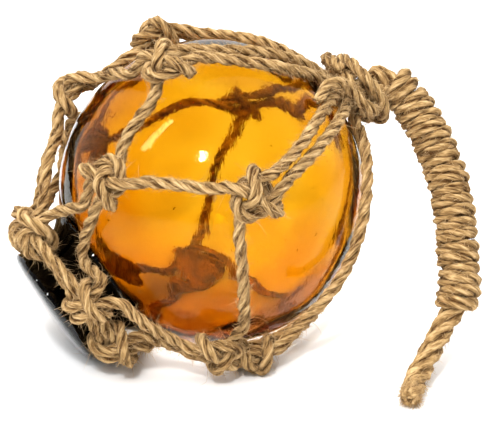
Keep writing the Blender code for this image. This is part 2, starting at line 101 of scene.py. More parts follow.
def wave(at, pitch, seed):
    # smooth wandering value, mostly from -1 to 1, along a length
    rng = np.random.default_rng(seed)
    total = np.zeros(len(at))
    for octave in range(4):
        phase = at / pitch * (1.7 ** octave) * wholeTurn + rng.uniform(0, wholeTurn)
        total += np.sin(phase) / (1.4 ** octave)
    return total / 2.6


def shaderOf(material):
    material.use_nodes = True
    return material.node_tree.nodes["Principled BSDF"]


def node(tree, kind, **values):
    made = tree.nodes.new(kind)
    for key, value in values.items():
        if key in made.inputs:
            made.inputs[key].default_value = value
        else:
            setattr(made, key, value)
    return made


def timesPlus(tree, value, factor, added):
    # value * factor + added
    made = node(tree, "ShaderNodeMath", operation="MULTIPLY_ADD")
    made.inputs[1].default_value = factor
    tree.links.new(value, made.inputs[0])
    tree.links.new(added, made.inputs[2])
    return made.outputs["Value"]


def noise(tree, vector, **values):
    made = node(tree, "ShaderNodeTexNoise", **values)
    tree.links.new(vector, made.inputs["Vector"])
    return made.outputs["Fac"]


def stretched(tree, vector, **values):
    made = node(tree, "ShaderNodeMapping", **values)
    tree.links.new(vector, made.inputs["Vector"])
    return made.outputs["Vector"]


def bumpFrom(tree, shader, height, strength, distance):
    bump = node(tree, "ShaderNodeBump", Strength=strength, Distance=distance)
    tree.links.new(height, bump.inputs["Height"])
    tree.links.new(bump.outputs["Normal"], shader.inputs["Normal"])


def soakLight(tree, colour, density):
    soak = node(tree, "ShaderNodeVolumeAbsorption", Color=colour, Density=density)
    tree.links.new(soak.outputs["Volume"], tree.nodes["Material Output"].inputs["Volume"])


def rampFrom(tree, value, shader, *stops):
    # colours the shader from dark to light, each stop a place and a colour
    colours = node(tree, "ShaderNodeValToRGB")
    ramp = colours.color_ramp.elements
    ramp[0].position, ramp[0].color = stops[0]
    ramp[1].position, ramp[1].color = stops[-1]
    for place, colour in stops[1:-1]:
        ramp.new(place).color = colour
    tree.links.new(value, colours.inputs["Fac"])
    tree.links.new(colours.outputs["Color"], shader.inputs["Base Color"])


def setAll(shader, values):
    for name, value in values.items():
        shader.inputs[name].default_value = value


fibreColour = (0.385, 0.245, 0.108, 1)

jute = {
    # colours of the darkest grain with the painted shade between strands, of fibres and of
    # bleached fibres, and the grain that spans them
    "stops": (
        (0.08, (0.085, 0.040, 0.014, 1)), (0.56, fibreColour), (0.95, (0.66, 0.465, 0.245, 1)),
    ),
    "span": (0.70, 1.26),
    "streak": (15.0, 420.0),  # fine fibres round a strand and for each metre along it
    "yarn": (6.0, 210.0),  # the coarser yarns
    "streakShare": 0.7,
    "patches": 95.0,
    "patchShare": 0.35,
    # how much shade is painted between the strands
    "hollowShadeShare": -0.34,
    "relief": 0.0007,
    "shader": {
        "Roughness": 0.85,
        "Specular IOR Level": 0.1,
        "Sheen Weight": 0.12,
        "Sheen Roughness": 0.5,
        "Sheen Tint": (0.95, 0.80, 0.55, 1),
    },
}


def juteMaterial():
    made = bpy.data.materials.new("jute fibre")
    shader = shaderOf(made)
    tree = made.node_tree
    uv = node(tree, "ShaderNodeUVMap", uv_map="fibre").outputs["UV"]
    grains = []
    for scale, detail in ((jute["streak"], 5.0), (jute["yarn"], 2.0)):
        drawn = stretched(tree, uv, Scale=(*scale, 1))
        grains.append(noise(tree, drawn, Scale=1.0, Detail=detail, Roughness=0.65, Distortion=0.4))
    place = node(tree, "ShaderNodeTexCoord").outputs["Object"]
    patch = noise(tree, place, Scale=jute["patches"], Detail=3.0, Roughness=0.6)
    relief = timesPlus(tree, grains[0], jute["streakShare"], grains[1])
    patched = timesPlus(tree, patch, jute["patchShare"], relief)
    # painted shade: darker between the strands
    depth = node(tree, "ShaderNodeAttribute", attribute_name="hollowShade")
    shaded = timesPlus(tree, depth.outputs["Fac"], jute["hollowShadeShare"], patched)
    spread = node(tree, "ShaderNodeMapRange")
    setAll(spread, {"From Min": jute["span"][0], "From Max": jute["span"][1]})
    tree.links.new(shaded, spread.inputs["Value"])
    rampFrom(tree, spread.outputs["Result"], shader, *jute["stops"])
    bumpFrom(tree, shader, relief, 1.0, jute["relief"])
    setAll(shader, jute["shader"])
    return made


hair = {
    "stops": ((0.3, fibreColour), (0.7, (0.74, 0.54, 0.31, 1))),
    "patches": 600.0,
    "shader": {"Roughness": 0.6, "Specular IOR Level": 0.4},
}


def fuzzMaterial():
    made = bpy.data.materials.new("jute fuzz")
    shader = shaderOf(made)
    tree = made.node_tree
    place = node(tree, "ShaderNodeTexCoord").outputs["Object"]
    patch = noise(tree, place, Scale=hair["patches"], Detail=2.0)
    rampFrom(tree, patch, shader, *hair["stops"])
    setAll(shader, hair["shader"])
    return made


amber = {
    "body": (0.885, 0.735, 0.03, 1),
    "density": 830.0,
    "shader": {
        "Base Color": (1.0, 0.985, 0.93, 1),
        "Roughness": 0.0,
        "IOR": 1.34,
        "Specular Tint": (1.0, 0.80, 0.38, 1),
        "Transmission Weight": 1.0,
    },
    "ripples": 38.0,
    "waves": 0.15,
    "marks": 0.32,
    "depth": 0.001,
    # how the finer flow marks are stretched and turned
    "flow": (420.0, 150.0, 90.0),
    "flowTurn": (0.4, 0.9, 0.5),
}


def amberMaterial():
    made = bpy.data.materials.new("amber glass")
    shader = shaderOf(made)
    tree = made.node_tree
    setAll(shader, amber["shader"])
    soakLight(tree, amber["body"], amber["density"])
    place = node(tree, "ShaderNodeTexCoord").outputs["Object"]
    ripple = noise(tree, place, Scale=amber["ripples"], Detail=2.0, Roughness=0.5, Distortion=0.6)
    flow = stretched(tree, place, Scale=amber["flow"], Rotation=amber["flowTurn"])
    marks = noise(tree, flow, Scale=1.0, Detail=3.0, Roughness=0.6, Distortion=1.0)
    height = timesPlus(tree, marks, amber["marks"], ripple)
    bumpFrom(tree, shader, height, amber["waves"], amber["depth"])
    return made


bottle = {
    "body": (0.035, 0.16, 0.10, 1),
    "density": 420.0,
    "shader": {
        "Base Color": (0.55, 0.75, 0.66, 1),
        "Roughness": 0.03,
        "IOR": 1.52,
        "Transmission Weight": 1.0,
    },
    "ripples": 60.0,
    "waves": 0.2,
    "depth": 0.0012,
}


def bottleMaterial():
    made = bpy.data.materials.new("bottle glass")
    shader = shaderOf(made)
    tree = made.node_tree
    setAll(shader, bottle["shader"])
    soakLight(tree, bottle["body"], bottle["density"])
    place = node(tree, "ShaderNodeTexCoord").outputs["Object"]
    ripple = noise(tree, place, Scale=bottle["ripples"], Detail=3.0)
    bumpFrom(tree, shader, ripple, bottle["waves"], bottle["depth"])
    return made


juteFibre = juteMaterial()
juteFuzz = fuzzMaterial()
amberGlass = amberMaterial()
bottleGlass = bottleMaterial()
print("materials made")


ball = {
    "radius": 0.050,
    "flat": 0.0004,
    "wall": 0.0033,
    "inset": 0.0001,  # the outer skin stays this far inside the full radius
    "lift": 0.00005,
    "thinSide": (0.55, -0.15, 0.80),  # the wall thins toward this side
    "thinning": 0.32,
    "around": 160,
    "rings": 96,
    "outerRipple": 0.00007,
    "outerPitch": 0.016,
    "innerRipple": 0.00035,
    "innerPitch": 0.022,
    "pole": 0.0012,  # angle of the small open ring left at each pole
}

# how the net lies: its own +Z runs from the seal button to the gather
net = {
    "rise": 29.7,
    "heading": 21.1,
    "rope": 0.0040,
    "gap": 0.0003,
    # knots as (degrees from the gather, degrees round the net's axis)
    "upper": {
        "front": (86.5, -20),
        "top": (82.5, -76),
        "topBack": (74, -131),
        "back": (57, -184),
        "under": (112, -311),
    },
    "lower": {
        "left": (120.5, -57),
        "leftBack": (109, -117),
        "farBack": (115, -157),
        "backLow": (106.5, -231.6),
        "frontLow": (122, -326),
    },
    "order": (
        "front", "left", "top", "leftBack", "topBack",
        "farBack", "back", "backLow", "under", "frontLow",
    ),
    "slack": {("backLow", "under"): ((99, -245), (91, -260), (88, -278), (96, -297))},
    # places that the button rope passes after a knot, and before one
    "detourAfter": {"backLow": ((128, -242), (146, -262))},
    "detourBefore": {"left": ((157, -47), (147, -53))},
    # where the west and east leg of each upper knot reach the gather, and their swing
    "arrival": {
        "front": (-35, -20),
        "top": (-70, -57),
        "topBack": (-153, -123),
        "back": (-205, -175),
        "under": (-341, -289),
    },
    "swing": {
        "front": (0, 0),
        "top": (2, 6),
        "topBack": (-1, 3),
        "back": (-1, 3),
        "under": (-2, 24),
    },
    "hitches": (-17, -87, -138, -196, -334),
    "ringRadius": 0.02428,
    "ringOffset": 0.0560,
    # a leg reaches the gather this many degrees from it, with a stop each so many degrees
    "legEnd": 15.0,
    "legStep": 10.5,
    # its last stops: share of the bundle's radius, share of the gather's length
    "legInside": ((1.25, -0.69), (1.0, -0.3), (1.0, 0.35)),
    "bundle": 0.0086,
    "gatherOffset": 0.0585,
    "gatherLength": 0.0105,
    # a strand that arches over the two front legs
    "arch": (
        (0.0280, -0.0189, 0.0399), (0.0262, -0.0195, 0.0417), (0.0239, -0.0196, 0.0441),
        (0.0219, -0.0193, 0.0469), (0.0208, -0.0183, 0.0496), (0.0200, -0.0162, 0.0517),
        (0.0190, -0.0127, 0.0527), (0.0186, -0.0091, 0.0533), (0.0189, -0.0057, 0.0541),
        (0.0192, -0.0023, 0.0549), (0.0179, 0.0010, 0.0559), (0.0144, 0.0025, 0.0573),
        (0.0105, 0.0017, 0.0581),
    ),
    "lay": 4.7,  # length of one full twist, in rope diameters
    "sides": 13,
    "step": 0.0009,
    "stopEvery": 2.4,  # rope diameters between the stops of a free span
}

# turns of rope round the gathered legs, in rope diameters, and the ring round the button
gather = {"turns": 3, "stops": 16, "start": -0.6, "out": 0.45, "wander": 0.62, "over": 0.75}
ring = {"turns": 2, "stops": 52, "spread": 0.52, "roll": 0.6}

rope = net["rope"]
lie = ball["radius"] + net["gap"] + rope / 2
middleHeight = ball["radius"] - ball["flat"]


def netPlacement():
    rise = math.radians(net["rise"])
    heading = math.radians(net["heading"])
    axis = Vector((
        math.cos(rise) * math.cos(heading),
        math.cos(rise) * math.sin(heading),
        math.sin(rise),
    ))
    side = Vector((math.sin(heading), -math.cos(heading), 0.0))
    turned = Matrix((side, axis.cross(side), axis)).transposed().to_4x4()
    return Matrix.Translation((0, 0, middleHeight)) @ turned


placement = netPlacement()
turn3 = np.array(placement.to_3x3())
shift3 = np.array(placement.translation)


def toWorld(points):
    return np.asarray(points) @ turn3.T + shift3


def toNet(points):
    return (np.asarray(points) - shift3) @ turn3


def onBall(fromGather, around, radius):
    polar, turn = math.radians(fromGather), math.radians(around)
    flat = radius * math.sin(polar)
    return np.array((flat * math.cos(turn), flat * math.sin(turn), radius * math.cos(polar)))


def seatAxes(fromGather, around, toButton):
    outward = onBall(fromGather, around, 1.0)
    along = onBall(fromGather + 90, around, 1.0)
    if not toButton:
        along = -along
    return outward, along, np.cross(outward, along)


def laidOver(axes, place, radius=lie):
    # a place in rope diameters (along, across, up), wrapped over the round ball
    outward, along, across = axes
    reach = math.hypot(place[0], place[1])
    if reach < 1e-6:
        return outward * (radius + place[2] * rope)
    angle = reach * rope / radius
    toward = (along * place[0] + across * place[1]) / reach
    return (outward * math.cos(angle) + toward * math.sin(angle)) * (radius + place[2] * rope)


# a sheet bend: the bight, and the rope that ties round it
bight = (
    (3.3, 0.55, 0.35), (2.3, 0.6, 0.85), (1.2, 0.8, 1.05),
    (0.2, 1.0, 1.1), (-0.8, 0.85, 1.05), (-1.3, 0.0, 0.95),
)
bend = (
    (-2.2, -1.5, 0.0), (-1.2, -0.35, 0.08), (-0.6, -0.05, 0.95), (-0.1, 0.2, 1.8),
    (0.4, 0.95, 2.05), (0.95, 1.75, 1.2), (1.3, 1.3, 0.25), (1.45, 0.0, 0.0),
    (1.3, -1.3, 0.25), (0.85, -1.8, 1.2), (0.3, -1.1, 2.05), (0.05, -0.4, 1.25),
    (-0.1, 0.2, 0.8), (-0.35, 0.8, 1.45), (-0.65, 1.25, 1.9), (-1.1, 1.9, 1.1),
    (-1.9, 2.2, 0.2),
)
# half of a hitch over the ring of rope round the button
hitch = (
    (-2.7, -1.2, -1.2), (-1.8, -0.55, -0.6), (-1.0, -0.5, 0.65), (0.0, -0.5, 1.2),
    (1.0, -0.55, 0.7), (1.25, -0.65, -0.3), (0.3, -1.1, -1.1), (-1.1, -1.5, -0.7),
    (-1.8, -1.1, 0.4), (-1.8, 0.0, 0.95),
)


def folded(half):
    return half + tuple((x, -y, z) for x, y, z in half[-2::-1])


def seatOf(name):
    if name in net["upper"]:
        return seatAxes(*net["upper"][name], False)
    return seatAxes(*net["lower"][name], True)


def bightAt(name):
    return [laidOver(seatOf(name), place) for place in folded(bight)]


def bendAt(name):
    points = [laidOver(seatOf(name), place) for place in bend]
    return points if name in net["upper"] else points[::-1]


def between(start, end, share):
    first, last = np.linalg.norm(start), np.linalg.norm(end)
    angle = math.acos(float(np.clip(start @ end / (first * last), -1, 1)))
    if angle < 1e-4:
        return start + (end - start) * share
    near = math.sin((1 - share) * angle) / math.sin(angle) / first
    far = math.sin(share * angle) / math.sin(angle) / last
    return (start * near + end * far) * (first + (last - first) * share)


def overBall(stops):
    places = []
    for start, end in zip(stops, stops[1:]):
        count = max(1, round(np.linalg.norm(end - start) / (net["stopEvery"] * rope)))
        for step in range(count):
            places.append(between(start, end, step / count))
    return places[1:]


def smooth(share):
    return share * share * (3 - 2 * share)


def roundCurve(points, closed, perSpan=8):
    points = [np.asarray(point, float) for point in points]
    if closed:
        points = [points[-1]] + points + points[:2]
    else:
        points = [2 * points[0] - points[1]] + points + [2 * points[-1] - points[-2]]
    curve = []
    for p0, p1, p2, p3 in zip(points, points[1:], points[2:], points[3:]):
        for step in range(perSpan):
            t = step / perSpan
            curve.append(0.5 * (
                2 * p1 + (p2 - p0) * t
                + (2 * p0 - 5 * p1 + 4 * p2 - p3) * t * t
                + (3 * p1 - p0 - 3 * p2 + p3) * t ** 3
            ))
    if not closed:
        curve.append(points[-2])
    return np.array(curve)


def evenly(curve, closed, step):
    # the same curve with its points a step apart
    line = np.vstack([curve, curve[:1]]) if closed else np.asarray(curve)
    runs = np.concatenate([[0], np.cumsum(np.linalg.norm(np.diff(line, axis=0), axis=1))])
    count = max(4, int(round(runs[-1] / step)))
    at = np.linspace(0, runs[-1], count + 1)
    even = np.stack([np.interp(at, runs, line[:, k]) for k in range(3)], axis=1)
    return even[:-1] if closed else even


def zigzagRoute():
    route = []
    for name, following in zip(net["order"], net["order"][1:] + net["order"][:1]):
        tied = bendAt(name)
        stops = [tied[-1]]
        stops += [onBall(*place, lie) for place in net["slack"].get((name, following), ())]
        stops.append(bendAt(following)[0])
        route += tied + overBall(stops)
    return route


def legRoute(name, side):
    # from the bight to the gather, starting where the bight's points end
    fromGather, around = net["upper"][name]
    leg = 0 if side > 0 else 1
    swing, arrival = net["swing"][name][leg], net["arrival"][name][leg]
    start = fromGather - math.degrees(bight[0][0] * rope / lie)
    offset = math.degrees(bight[0][1] * rope / lie / math.sin(math.radians(fromGather)))
    end = net["legEnd"]
    count = max(3, round((start - end) / net["legStep"]))
    route = []
    for step in range(1, count + 1):
        share = step / count
        turn = around - side * offset
        turn += (arrival - turn) * smooth(share) + swing * math.sin(math.pi * share)
        route.append(onBall(start + (end - start) * share, turn, lie))
    inside = net["bundle"] - rope / 2
    turn = math.radians(arrival)
    for out, along in net["legInside"]:
        radius = out * inside
        height = net["gatherOffset"] + along * net["gatherLength"]
        route.append(np.array((radius * math.cos(turn), radius * math.sin(turn), height)))
    return route


def loopRoute(name):
    return legRoute(name, 1)[::-1] + bightAt(name) + legRoute(name, -1)


def ringSeat(around):
    polar = 180 - math.degrees(math.atan2(net["ringRadius"], net["ringOffset"]))
    return seatAxes(polar, around, True)


def hitchAt(around):
    reach = math.hypot(net["ringRadius"], net["ringOffset"])
    return [laidOver(ringSeat(around), place, reach) for place in folded(hitch)]


def buttonRopeRoute():
    lower = [name for name in net["order"] if name in net["lower"]]
    route = []
    for index, name in enumerate(lower):
        following = (index + 1) % len(lower)
        knot = bightAt(name)
        tied = hitchAt(net["hitches"][following])[::-1]
        after = [onBall(*place, lie) for place in net["detourAfter"].get(name, ())]
        before = [onBall(*place, lie) for place in net["detourBefore"].get(lower[following], ())]
        route += knot + overBall([knot[-1], *after, tied[0]]) + tied
        route += overBall([tied[-1], *before, bightAt(lower[following])[0]])
    return route


def ringRoute():
    route = []
    for step in range(ring["stops"]):
        turn = ring["turns"] * 2 * math.pi * step / ring["stops"]
        roll = turn / 2 + ring["roll"]
        radius = net["ringRadius"] + ring["spread"] * rope * math.cos(roll)
        height = -net["ringOffset"] + ring["spread"] * rope * math.sin(roll)
        route.append(np.array((radius * math.cos(turn), radius * math.sin(turn), height)))
    return route


def gatherRoute():
    route = []
    steps, turns = gather["stops"], gather["turns"]
    inner = net["bundle"] + gather["out"] * rope
    for step in range(steps * turns):
        turn = 2 * math.pi * step / steps + gather["start"]
        share = step / (steps * turns)
        height = gather["wander"] * rope * math.cos(turns * math.pi * share)
        # the last turn crosses over the others
        over = math.sin(math.pi * share * turns) ** 2 if share > 1 - 1 / turns else 0.0
        radius = inner + gather["over"] * rope * over
        route.append(np.array((
            radius * math.cos(turn), radius * math.sin(turn), net["gatherOffset"] + height,
        )))
    return route


# letting the ropes settle against each other, the glass and the ground
settling = {
    "rounds": 60,
    "quickRounds": 12,
    "searchEvery": 6,  # rounds between two searches for neighbours
    "reach": 1.3,  # how far neighbours are looked for, in diameters
    "apart": 2.1,  # nearer than this along one rope two points aren't neighbours
    "tightness": 0.93,  # how near two ropes lie, in diameters
    "push": 1.4,
    "pull": 0.015,
    "stiffness": 0.22,
    "onGlass": 0.47,
    "onButton": 0.49,
    "onGround": 0.49,
    "pastButton": 0.003,
}

# height under the ball's middle and radius of the button's side
buttonSide = np.array((
    (0.0436, 0.0245), (0.0467, 0.0212), (0.0506, 0.0185),
    (0.0576, 0.0178), (0.0609, 0.0188), (0.0627, 0.0202),
))


def neighbours(places, reach):
    tree = KDTree(len(places))
    for index, place in enumerate(places):
        tree.insert(place, index)
    tree.balance()
    pairs = []
    for index, place in enumerate(places):
        pairs += [(index, other) for _, other, _ in tree.find_range(place, reach) if other > index]
    return np.array(pairs, int)


def offTheButton(places):
    heights, radii = buttonSide.T
    down = -places[:, 2]
    around = np.hypot(places[:, 0], places[:, 1])
    clear = np.interp(down, heights, radii) + settling["onButton"] * rope
    beside = (down > heights[0]) & (down < heights[-1] + settling["pastButton"])
    inside = beside & (around < clear)
    places[inside, :2] *= (clear[inside] / around[inside])[:, None]


def settle(ropes):
    # ropes: {name: [points, closed]} in the net's own axes
    names = list(ropes)
    places = np.vstack([ropes[name][0] for name in names])
    sizes = [len(ropes[name][0]) for name in names]
    starts = np.cumsum([0] + sizes)
    owner = np.repeat(np.arange(len(names)), sizes)
    count = np.repeat(sizes, sizes)
    local = np.concatenate([np.arange(size) for size in sizes])
    loop = np.repeat([ropes[name][1] for name in names], sizes)
    first = places.copy()
    near = rope * settling["tightness"]
    apart = int(settling["apart"] * rope / net["step"])
    rounds = settling["rounds"]
    for done in range(rounds):
        if done % settling["searchEvery"] == 0:
            pairs = neighbours(places, rope * settling["reach"])
            a, b = pairs[:, 0], pairs[:, 1]
            gap = np.abs(local[a] - local[b])
            gap = np.where(loop[a], np.minimum(gap, count[a] - gap), gap)
            keep = (owner[a] != owner[b]) | (gap > apart)
            a, b = a[keep], b[keep]
        delta = places[b] - places[a]
        distance = np.linalg.norm(delta, axis=1)
        push = np.clip(near - distance, 0, None)
        move = delta / np.maximum(distance, 1e-9)[:, None] * (0.5 * push)[:, None]
        total = np.zeros_like(places)
        touched = np.zeros(len(places))
        np.add.at(total, a, -move)
        np.add.at(total, b, move)
        np.add.at(touched, a, push > 0)
        np.add.at(touched, b, push > 0)
        places += total / np.maximum(touched, 1)[:, None] * settling["push"]
        for index, name in enumerate(names):
            low, high = starts[index], starts[index + 1]
            line = places[low:high]
            before, after = np.roll(line, 1, axis=0), np.roll(line, -1, axis=0)
            eased = settling["stiffness"] * ((before + after) / 2 - line)
            if not ropes[name][1]:
                eased[:2] = 0
                eased[-2:] = 0
            places[low:high] += eased
        places += settling["pull"] * (first - places)
        # off the glass
        far = np.linalg.norm(places, axis=1)
        least = ball["radius"] + settling["onGlass"] * rope
        places *= np.where(far < least, least / far, 1.0)[:, None]
        offTheButton(places)
        # off the ground
        standing = toWorld(places)
        standing[:, 2] = np.maximum(standing[:, 2], settling["onGround"] * rope)
        places = toNet(standing)
    return {name: places[starts[i]:starts[i + 1]] for i, name in enumerate(names)}


def framesAlong(line, closed):
    if closed:
        ahead = unit(np.roll(line, -1, axis=0) - np.roll(line, 1, axis=0))
    else:
        ahead = unit(np.gradient(line, axis=0))
    side = np.zeros_like(line)
    guess = np.array((0.0, 0.0, 1.0)) if abs(ahead[0][2]) < 0.9 else np.array((1.0, 0.0, 0.0))
    side[0] = unit(np.cross(ahead[0], guess))
    for index in range(1, len(line)):
        carried = side[index - 1] - ahead[index] * (side[index - 1] @ ahead[index])
        side[index] = carried / np.linalg.norm(carried)
    spare = 0.0
    if closed:
        carried = side[-1] - ahead[0] * (side[-1] @ ahead[0])
        carried /= np.linalg.norm(carried)
        spare = math.atan2(np.cross(carried, side[0]) @ ahead[0], carried @ side[0])
    return ahead, side, np.cross(ahead, side), spare


# the yarns of a strand, twisted the other way, and its loose lumps
yarns = {
    "count": 3,
    "pitch": 0.0085,
    "depth": 0.13,
    "sway": 1.5,
    "swayPitch": 0.02,
    "lumps": 0.045,
    "lumpPitches": (0.0021, 0.0033, 0.0052, 0.008),
    "closing": 0.3,  # power by which the relief of a closed rope fades at its joint
}

# how the painted shade in the valley between strands spreads round a strand
valleyShade = {"level": 0.62, "power": 1.4}


def strandSkin(centres, outward, radii, sides, closed, along, uStart, seed):
    if closed:
        ahead = unit(np.roll(centres, -1, axis=0) - np.roll(centres, 1, axis=0))
    else:
        ahead = unit(np.gradient(centres, axis=0))
    e1 = unit(outward - ahead * np.sum(outward * ahead, axis=1)[:, None])
    e2 = np.cross(ahead, e1)
    angle = np.linspace(0, 2 * math.pi, sides, endpoint=False) + math.pi
    rng = np.random.default_rng(seed)
    column = along[:, None]
    fade = np.sin(math.pi * along / along[-1])[:, None] ** yarns["closing"] if closed else 1.0
    sway = yarns["sway"] * wave(along, yarns["swayPitch"], seed)[:, None]
    twist = yarns["count"] * angle[None, :] - column * wholeTurn / yarns["pitch"] + sway
    lumps = np.zeros(twist.shape)
    for pitch in yarns["lumpPitches"]:
        roundIt = angle[None, :] * rng.integers(1, 4)
        lumps += np.sin(column * wholeTurn / pitch + roundIt + rng.uniform(0, wholeTurn))
    relief = yarns["depth"] * np.cos(twist) + yarns["lumps"] * lumps
    reach = radii[:, None] * (1 + fade * relief)
    across = np.cos(angle)[None, :, None] * e1[:, None, :]
    across = across + np.sin(angle)[None, :, None] * e2[:, None, :]
    skin = centres[:, None, :] + reach[:, :, None] * across
    rows = len(centres)
    spans = rows if closed else rows - 1
    i = np.arange(spans)[:, None]
    j = np.arange(sides)[None, :]
    nextRow = (i + 1) % rows
    nextSide = (j + 1) % sides
    quads = np.stack([
        i * sides + j, i * sides + nextSide, nextRow * sides + nextSide, nextRow * sides + j,
    ], axis=-1).reshape(-1, 4)
    u0 = np.broadcast_to((j / sides) + uStart, (spans, sides))
    u1 = u0 + 1 / sides
    v0 = np.broadcast_to(along[:spans, None], (spans, sides))
    v1 = v0 + (along[1] - along[0])
    corners = ((u0, v0), (u1, v0), (u1, v1), (u0, v1))
    uv = np.stack([np.stack(corner, -1) for corner in corners], axis=2).reshape(-1, 4, 2)
    # painted shade, 1 where the strand faces the middle of the rope
    hollowShade = np.clip(valleyShade["level"] - valleyShade["level"] * np.cos(angle), 0, 1) ** valleyShade["power"]
    hollowShade = np.repeat(hollowShade[None, :], rows, axis=0)
    # no painted shade at the cut ends
    if not closed:
        hollowShade[:3] = hollowShade[-3:] = 0
    return skin.reshape(-1, 3), quads, uv, hollowShade.ravel()


# how far out the strands of a rope lie and how thick they are, in half diameters
strandSize = {
    3: (0.462, 0.542),
    4: (0.565, 0.440),
}

# the thin strand in the middle of a four-strand rope
heart = {"thick": 0.24, "sides": 6, "uStart": 0.5}

# steps of the fibre pattern from strand to strand and from rope to rope
fibreShift = (3.37, 1.71)

# how much a rope and its strands wander, and over what length
wander = {
    "rope": (0.035, 0.021),
    "turn": (0.10, 0.017),
    "out": (0.06, 0.013),
    "thick": (0.05, 0.009),
}

# a cut end: how far its strands draw in, and how they round off
cut = {"drawn": (0.45, 0.62, 0.82), "thick": (0.02, 0.86), "last": 0.15}


def wandering(name, along, seed):
    size, pitch = wander[name]
    return size * wave(along, pitch, seed)


def cutEnds(line, centres, radii):
    for index, share in enumerate(cut["drawn"]):
        for row in (index, -1 - index):
            centres[row] = line[row] + share * (centres[row] - line[row])
    centres[0] = centres[1] + cut["last"] * (centres[0] - centres[1])
    centres[-1] = centres[-2] + cut["last"] * (centres[-1] - centres[-2])
    ends = np.ones(len(line))
    for index, share in enumerate(cut["thick"]):
        ends[index] = ends[-1 - index] = share
    return radii * ends


def laidRope(name, line, closed, diameter, seed, lay=None, sides=None, strands=3):
    # strands twisted round a line; returns the piece and the strands' middles, for the fuzz
    lay = (lay or net["lay"]) * diameter
    outShare, thickShare = strandSize[strands]
    sides = sides or net["sides"]
    line = np.asarray(line)
    _, side, other, spare = framesAlong(line, closed)
    steps = np.linalg.norm(np.diff(np.vstack([line, line[:1]]), axis=0), axis=1)
    along = np.concatenate([[0], np.cumsum(steps)])
    whole = along[-1]
    along = along[:-1]
    if closed:  # whole turns, so that the strands meet again
        twist = along / whole * (2 * math.pi * round(whole / lay) + spare)
    else:
        twist = along / lay * 2 * math.pi
    fade = np.sin(math.pi * along / whole)
    half = diameter / 2 * (1 + wandering("rope", along, seed))
    skins, middles = [], []
    for strand in range(strands):
        turn = twist + strand * 2 * math.pi / strands
        turn = turn + wandering("turn", along, seed + 11 + strand) * fade
        outward = side * np.cos(turn)[:, None] + other * np.sin(turn)[:, None]
        offset = outShare * half * (1 + wandering("out", along, seed + 21 + strand) * fade)
        radii = thickShare * half * (1 + wandering("thick", along, seed + 31 + strand) * fade)
        centres = line + outward * offset[:, None]
        if not closed:
            radii = cutEnds(line, centres, radii)
        uStart = strand * fibreShift[0] + seed * fibreShift[1]
        skins.append(strandSkin(
            centres, outward, radii, sides, closed, along, uStart, seed + 41 + strand,
        ))
        middles.append((centres, outward, radii))
    if strands > 3:
        skins.append(strandSkin(
            line, side, heart["thick"] * half, heart["sides"], closed, along,
            heart["uStart"], seed + 61,
        ))
    places, quads, uvs, hollowShades = [list(kind) for kind in zip(*skins)]
    base = 0
    for index, skin in enumerate(places):
        quads[index] = quads[index] + base
        base += len(skin)
    piece = quadMesh(
        name, np.vstack(places), np.vstack(quads), juteFibre,
        np.vstack(uvs), np.concatenate(hollowShades),
    )
    return piece, middles


# loose fibres that stand off the rope
fuzz = {
    "perMetre": 4200,
    "longPerMetre": 520,
    "thick": 0.000065,
    "segments": 4,
    "short": (0.0009, 0.0032),
    "long": (2.4, 0.0013, 0.0012),  # shape and scale of the spread, and the least
    "longest": 0.0110,
    "lean": 1.45,  # how far round the strand's outer side they grow
    "rooted": 0.93,
    "forward": 0.8,
    "rise": (0.3, 1.6),
    "stray": 0.35,
    "bend": (0.8, 0.5, 0.4),  # toward its own stray way, outward and ahead
    "curl": (0.8, 3.6),
    "width": (0.6, 1.35),
    "tip": 0.25,
    "onGround": 0.0001,
}


